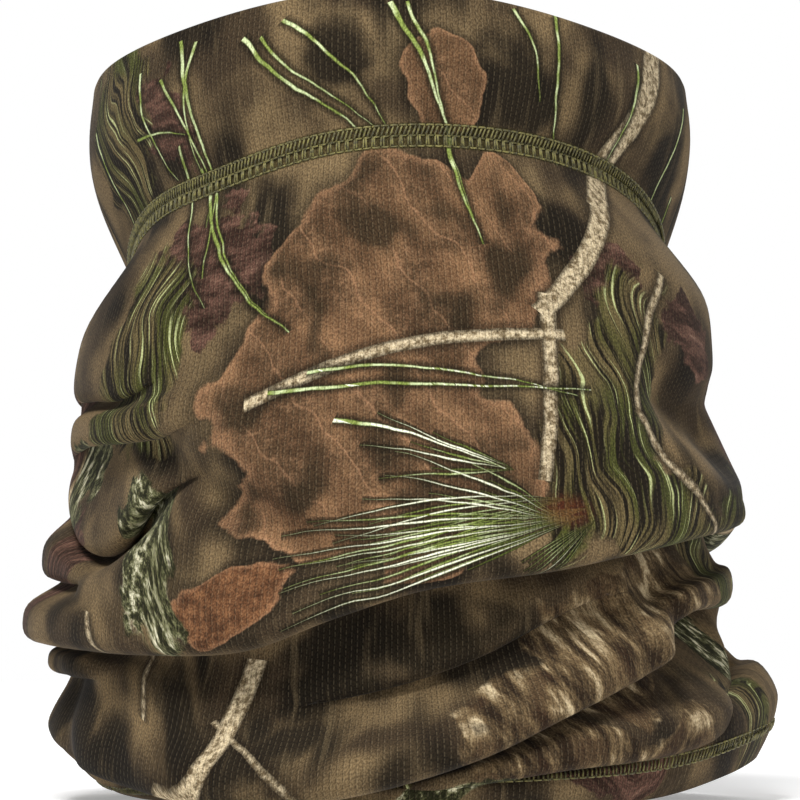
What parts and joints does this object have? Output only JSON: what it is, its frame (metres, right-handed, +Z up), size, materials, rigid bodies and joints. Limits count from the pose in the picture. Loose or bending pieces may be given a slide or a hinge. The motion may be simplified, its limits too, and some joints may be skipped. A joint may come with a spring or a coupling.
{
  "type": "neck gaiter",
  "caption": "Knitted neck gaiter in a woodland print: a tube bunched into soft rolls, drawn in at a tilted stitched seam below a folded face panel.",
  "frame": {"origin": "centre of the hem's footprint, on the surface that the gaiter stands on", "axes": "+Z up along the tube, -Y towards the face side, +X towards the right of a viewer who faces the front"},
  "size_m": [0.189, 0.1916, 0.2034],
  "materials": {
    "camouflage_knit": "matte",
    "seam_thread": "satin",
    "label_weave": "satin",
    "label_thread": "satin"
  },
  "bodies": {
    "neck_tube": {"main_panel": "camouflage_knit", "main_back_seam_needle_threads": "seam_thread", "main_back_seam_cover_thread": "seam_thread", "main_back_seam_looper_thread": "seam_thread", "hem_needle_threads": "seam_thread", "hem_cover_thread": "seam_thread", "hem_looper_thread": "seam_thread"},
    "face_cover": {"face_panel": "camouflage_knit", "face_seam_needle_threads": "seam_thread", "face_seam_cover_thread": "seam_thread", "face_seam_looper_thread": "seam_thread", "face_back_seam_needle_threads": "seam_thread", "face_back_seam_cover_thread": "seam_thread", "face_back_seam_looper_thread": "seam_thread", "care_label": "label_weave", "care_label_stitches": "label_thread"}
  },
  "joints": [
    {"name": "pull_up", "type": "slide", "parent": "neck_tube", "child": "face_cover", "axis": [0, 0, 1], "range_m": [-0.03, 0.09], "deforming": ["main_panel", "main_back_seam_needle_threads", "main_back_seam_cover_thread", "main_back_seam_looper_thread"]}
  ]
}
